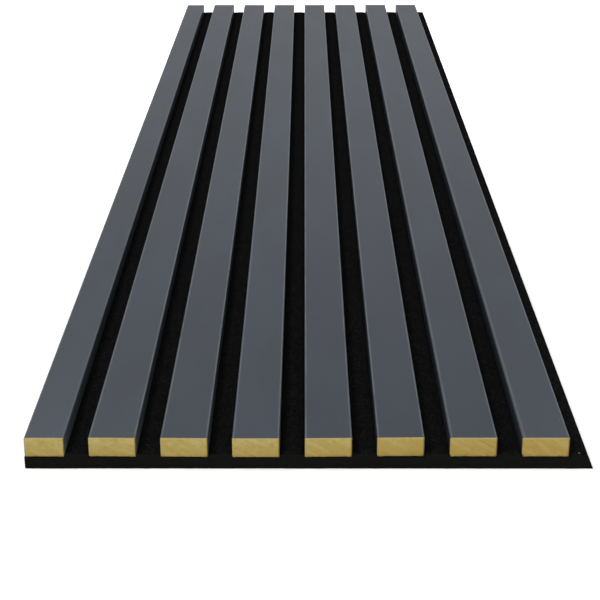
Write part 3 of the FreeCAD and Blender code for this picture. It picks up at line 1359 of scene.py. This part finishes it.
@dataclass
class FibreEnds:
    """Loose fibre ends that stand out of the felt, more of them towards the near end."""

    felt: FeltBoard
    count: int = 5200
    # The share of them that stands on the near end's cut, and the rest stands on the strips
    on_cut: float = 0.4
    # How strongly they gather towards the near end
    crowding: float = 2.2
    shortest_mm: float = 0.5
    longest_mm: float = 1.6
    droop: float = 0.8
    # A real fibre is 0.02 mm thick and would not show, so each stands for a small tuft
    radius: float = 0.035 * MM
    taper: float = 0.66
    margin: float = 0.1 * MM
    # How deep a root lies under the felt's top, and behind its near end
    sunk: float = 0.25 * MM
    set_in: float = 0.3 * MM
    # How far from the lap's outer corner and from the back no fibre has its root on the cut
    corner_clear: float = 1.5 * MM
    back_clear: float = 0.5 * MM

    def roots(self, draw: np.random.Generator) -> tuple[np.ndarray, np.ndarray]:
        """Where the fibres start and which way they point.

        Args:
            draw: The source of random numbers.

        Returns:
            A place and a direction of length one for each fibre.
        """
        felt, box, count = self.felt, self.felt.box, self.count
        strips = np.array(felt.strips())
        pick = draw.integers(0, len(strips), count)
        across = draw.uniform(0, 1, count)
        on_cut = (draw.uniform(0, 1, count) < self.on_cut)[:, None]
        along = box.low[1] + box.size(1) * draw.uniform(0, 1, count) ** self.crowding
        left, right = strips[pick, 0], strips[pick, 1]
        x = left + (right - left) * across
        z = np.empty(count)
        for i, (a, b) in enumerate(strips):
            inside = pick == i
            z[inside] = felt.strip_height(x[inside], a, b, i == len(strips) - 1)
        root = np.stack([x, along, z - self.sunk], axis=1)
        # On the strips the fibres lie low, and on the cut they point out of it
        way = draw.normal(size=(count, 3)) * (1, 1, 0.35) + (0, 0, 0.25)
        front = np.stack([
            draw.uniform(box.low[0], box.high[0] - self.corner_clear, count),
            np.full(count, box.low[1] + self.set_in),
            draw.uniform(self.back_clear, felt.seat - self.margin, count),
        ], axis=1)
        way = np.where(on_cut, draw.normal(size=(count, 3)) * (1, 0.25, 1) - (0, 0.3, 0), way)
        return np.where(on_cut, front, root), way / np.linalg.norm(way, axis=1, keepdims=True)

    def build(self) -> Piece:
        """Make each fibre as a thin three-sided curved spike.

        A fibre's centre line is its root, plus its length times t along its direction, plus
        half its length times t squared along a droop, for t from 0 to 1. The radius falls to
        a third at the tip.

        Returns:
            All the fibres, as one piece.
        """
        draw = np.random.default_rng(Seed.FIBRES)
        root, way = self.roots(draw)
        length = draw.uniform(self.shortest_mm, self.longest_mm, self.count)[:, None, None] * MM
        droop = draw.normal(size=(self.count, 3)) * self.droop
        t = np.linspace(0, 1, 4)[None, :, None]
        line = root[:, None] + length * (t * way[:, None] + 0.5 * t * t * droop[:, None])
        # The fibres may stand proud of the felt's top, but not of its sides, ends or back
        room = np.array([[1, 1, 1], [-1, -1, 5]]) * self.margin
        line = np.clip(line, self.felt.box.low + room[0], self.felt.box.high + room[1])
        side = np.cross(way, draw.normal(size=(self.count, 3)))
        side /= np.linalg.norm(side, axis=1, keepdims=True)
        radius = self.radius * (1 - self.taper * t)
        angle = (2 * math.pi * np.arange(3) / 3)[None, :, None]
        spoke = np.cos(angle) * side[:, None] + np.sin(angle) * np.cross(way, side)[:, None]
        points = (line[:, :, None] + radius[..., None] * spoke[:, None]).reshape(-1, 3)
        # Twelve points to a fibre: four triangles, from the root to the tip
        first = 12 * np.arange(self.count)[:, None]
        level = first + 3 * np.arange(3)
        walls = [
            np.stack([level + k, level + turned, level + 3 + turned, level + 3 + k], axis=2).reshape(-1, 4)
            for k, turned in ((0, 1), (1, 2), (2, 0))
        ]
        caps = [first + np.array([corners]) for corners in ((0, 2, 1, 1), (9, 10, 11, 11))]
        return make_piece("felt_fibre_ends", points, np.concatenate(walls + caps), sharp=180.0)


@dataclass
class Lint:
    """The grey fleck that the photo shows on the felt lap, near its front corner."""

    place: Triple = (142.1 * MM, -599.2 * MM, 8.8 * MM)
    reach: Triple = (0.5 * MM, 0.4 * MM, 0.225 * MM)
    roughness: float = 0.2
    # The ripple's wavelength on a ball of radius one
    grain: float = 1.2
    rings: int = 8
    segments: int = 12

    def build(self) -> Piece:
        """Make a rough flat ball: a sphere's radius times one plus a coarse ripple.

        Returns:
            The fleck.
        """
        turns = np.linspace(0, 2 * math.pi, self.segments + 1)[:-1]
        polar, turn = np.meshgrid(np.linspace(0, math.pi, self.rings), turns)
        axes = [np.sin(polar) * np.cos(turn), np.sin(polar) * np.sin(turn), np.cos(polar)]
        unit = np.stack(axes, axis=2)
        unit = np.concatenate([unit, unit[:1]])
        uneven = 1 + self.roughness * ripple(np.round(unit.reshape(-1, 3), 6), self.grain, Seed.LINT)
        shell = Shell()
        shell.add_grid(unit * uneven.reshape(*unit.shape[:2], 1) * self.reach + self.place)
        points, faces = shell.welded()
        return make_piece("lint_flecks", points, faces, sharp=60.0)


@dataclass(frozen=True)
class PhotoView:
    """The camera of the photo, found by fitting a pinhole to the panel's corners and edges."""

    place: Triple = (-2.27 * MM, -1304.45 * MM, 377.76 * MM)
    down: float = math.radians(21.803)
    turn: float = math.radians(-0.191)
    roll: float = math.radians(0.076)
    frame_pixels: float = 600.0
    focal_pixels: float = 1504.262
    sensor: float = 36.0
    nearest: float = 0.01
    furthest: float = 100.0

    def build(self) -> None:
        """Make the camera and set it as the scene's.

        Its axes are the view's right, up and backward directions: the forward direction from
        the two angles, then the picture plane turned by the roll.
        """
        data = bpy.data.cameras.new("photo_view")
        data.sensor_width = self.sensor
        data.lens = self.focal_pixels / self.frame_pixels * self.sensor
        data.clip_start, data.clip_end = self.nearest, self.furthest
        forward = np.array([
            math.sin(self.turn) * math.cos(self.down),
            math.cos(self.turn) * math.cos(self.down),
            -math.sin(self.down),
        ])
        right = np.array([math.cos(self.turn), -math.sin(self.turn), 0.0])
        below = np.cross(forward, right)
        matrix = np.eye(4)
        matrix[:3, 0] = math.cos(self.roll) * right + math.sin(self.roll) * below
        matrix[:3, 1] = math.sin(self.roll) * right - math.cos(self.roll) * below
        matrix[:3, 2] = -forward
        matrix[:3, 3] = self.place
        camera = bpy.data.objects.new("photo_view", data)
        camera.matrix_world = Matrix(matrix.tolist())
        bpy.context.scene.collection.objects.link(camera)
        bpy.context.scene.camera = camera


@dataclass(frozen=True)
class SoftLamp:
    """One square softbox, aimed at a point."""

    name: str
    place: Triple
    aim: Triple
    size: float
    power: float
    tint: Triple

    def build(self) -> None:
        """Make the lamp, its back turned away from what it is aimed at."""
        data = bpy.data.lights.new(self.name, "AREA")
        data.shape = "SQUARE"
        data.size = self.size
        data.energy = self.power
        data.color = self.tint
        lamp = bpy.data.objects.new(self.name, data)
        bpy.context.scene.collection.objects.link(lamp)
        away = Vector(self.place) - Vector(self.aim)
        lamp.matrix_world = Matrix.Translation(self.place) @ away.to_track_quat("Z", "Y").to_matrix().to_4x4()


@dataclass(frozen=True)
class Studio:
    """A plain white room: an even pale floor, a white surround and soft lamps."""

    surround: float = 0.65
    floor_size: float = 30.0
    floor_drop: float = 0.02 * MM
    floor_white: str = "F4F4F3"
    floor_pale: str = "F7F7F7"
    floor_grain: Triple = (0.4, 0.4, 0.4)
    # The floor's own light grows with the distance from this place near the front edge
    dim_place: Triple = (0.0, -0.65, 0.0)
    dim_reach: tuple[float, float] = (0.3, 1.1)
    own_light: tuple[float, float] = (0.2, 0.85)
    lamps: tuple[SoftLamp, ...] = (
        SoftLamp("softbox_left", (-1.45, -0.6, 3.05), (0.0, -0.2, 0.0), 1.0, 54.0, (1.0, 1.0, 0.965)),
        SoftLamp("softbox_behind", (-0.2, 2.4, 2.8), (0.0, -0.2, 0.0), 2.4, 12.0, (0.8, 0.94, 1.2)),
        SoftLamp("window_behind", (0.3, 3.5, 1.7), (0.0, -0.2, 0.0), 3.4, 4.4, (0.8, 0.95, 1.25)),
        SoftLamp("fill_right", (2.4, -1.4, 1.4), (0.0, -0.4, 0.0), 1.6, 14.0, (1.0, 1.0, 1.0)),
    )

    def build_floor(self) -> None:
        """Make the floor, a large square just under the panel, with a matt white finish."""
        corners = np.array([[-1, -1, 0], [1, -1, 0], [1, 1, 0], [-1, 1, 0]]) * self.floor_size / 2
        floor = make_piece("floor", corners - (0, 0, self.floor_drop), np.array([[0, 1, 2, 3]]))
        floor.data.materials.append(self.floor_finish())

    def floor_finish(self) -> bpy.types.Material:
        """A matt white that keeps the panel's shadow and reads white to the camera.

        Returns:
            The material, whose own light is seen by camera, glossy and transmission rays alone.
        """
        material, tree, place = blank_material("matt_white_floor")
        grain = speckle(tree, place, self.floor_grain, 2.0)
        colour = coated(tree, linear(self.floor_white), (grain, self.floor_pale))
        matt = add(tree, "ShaderNodeBsdfDiffuse", {"Color": colour})
        gap = add(tree, "ShaderNodeVectorMath", (place, self.dim_place), operation="DISTANCE")
        own = add(tree, "ShaderNodeMapRange", (gap.outputs["Value"], *self.dim_reach, *self.own_light),
                  interpolation_type="SMOOTHSTEP")
        seen = self.seen_rays(tree, 0.0, 1.0)
        strength = add(tree, "ShaderNodeMath", (seen, own.outputs[0]), operation="MULTIPLY").outputs[0]
        glow = add(tree, "ShaderNodeEmission", {"Color": (1, 1, 1, 1), "Strength": strength})
        both = add(tree, "ShaderNodeAddShader", (matt.outputs[0], glow.outputs[0]))
        add(tree, "ShaderNodeOutputMaterial", {"Surface": both.outputs[0]})
        return material

    @staticmethod
    def seen_rays(tree: Tree, unseen: float, seen: float) -> Socket:
        """A value for the rays that show the background, and another for the rest.

        Args:
            tree: The node tree of the floor or the world.
            unseen: The value for diffuse and shadow rays.
            seen: The value for camera, glossy and transmission rays.

        Returns:
            The value's output.
        """
        path = add(tree, "ShaderNodeLightPath")
        share = path.outputs["Is Camera Ray"]
        for kind in ("Is Glossy Ray", "Is Transmission Ray"):
            share = add(tree, "ShaderNodeMath", (share, path.outputs[kind]), operation="MAXIMUM").outputs[0]
        return add(tree, "ShaderNodeMapRange", (share, 0.0, 1.0, unseen, seen)).outputs[0]

    def build_surround(self) -> None:
        """Light the scene evenly from all round, and show plain white behind it."""
        world = bpy.data.worlds.new("white_surround")
        world.use_nodes = True
        tree = world.node_tree
        tree.nodes.clear()
        strength = self.seen_rays(tree, self.surround, 1.0)
        light = add(tree, "ShaderNodeBackground", {"Color": (1, 1, 1, 1), "Strength": strength})
        add(tree, "ShaderNodeOutputWorld", {"Surface": light.outputs[0]})
        bpy.context.scene.world = world

    def build(self) -> None:
        """Make the floor, the surround and the lamps, and set how colours are shown."""
        self.build_floor()
        self.build_surround()
        for lamp in self.lamps:
            lamp.build()
        bpy.context.scene.view_settings.view_transform = "Standard"


class SlatPanel:
    """The whole panel: felt, slats, glue and staples, each dressed in its own finish."""

    def __init__(self) -> None:
        """Make the finishes and read the slats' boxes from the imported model."""
        self.felt = PressedFelt().build()
        self.foil = DecorFoil().build()
        self.board = SawnFibreboard().build()
        self.glue = HotMeltGlue().build()
        self.wire = GalvanisedWire().build()
        self.lint = GreyLint().build()
        self.slats = [slat_box(f"slat_foil_{i}", i) for i in range(1, SLAT_COUNT + 1)]
        self.pieces: list[Piece] = []

    def dress(self, piece: Piece, finish: bpy.types.Material, slot: Slot, *nodes: str) -> None:
        """Give a piece its finish and its body, and hide the CAD nodes that it replaces.

        Args:
            piece: The finished object.
            finish: Its material.
            slot: The record's slot that the finish belongs to. It is not used.
            nodes: The CAD nodes that the piece replaces, if any.
        """
        piece.data.materials.clear()
        piece.data.materials.append(finish)
        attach(piece, ROOT)
        if nodes:
            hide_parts(*nodes)
        self.pieces.append(piece)

    def build_slats(self) -> None:
        """Make the foil and the fibreboard of every slat, and dress its glue film."""
        for number, ends in enumerate(slat_ends(), start=1):
            wrap, bar = FoilWrap(number, ends), FibreboardBar(number, ends)
            self.dress(wrap.build(), self.foil, Slot.FOIL, wrap.node)
            self.dress(bar.build(), self.board, Slot.BOARD, bar.node)
            self.dress(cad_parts[f"glue_film_{number}"], self.glue, Slot.GLUE)

    def build_back(self) -> None:
        """Make the felt board, its loose fibres and the staples."""
        row = StapleRow()
        felt = FeltBoard(self.slats, *row.centres())
        self.dress(felt.build(), self.felt, Slot.FELT, felt.node)
        self.dress(FibreEnds(felt).build(), self.felt, Slot.FELT)
        self.dress(row.build(), self.wire, Slot.WIRE, row.node)

    def build(self) -> list[Piece]:
        """Make every piece of the panel.

        Returns:
            The pieces, in the order in which they were made.
        """
        self.build_slats()
        self.build_back()
        self.dress(Lint().build(), self.lint, Slot.FELT)
        return self.pieces


def main() -> None:
    """Build the camera, the panel and the studio, and report each piece."""
    logging.basicConfig(level=logging.INFO, format="%(name)s: %(message)s")
    PhotoView().build()
    for piece in SlatPanel().build():
        mesh = piece.data
        LOG.info("%s: %d points, %d faces", piece.name, len(mesh.vertices), len(mesh.polygons))
    Studio().build()


if __name__ == "__main__":
    main()
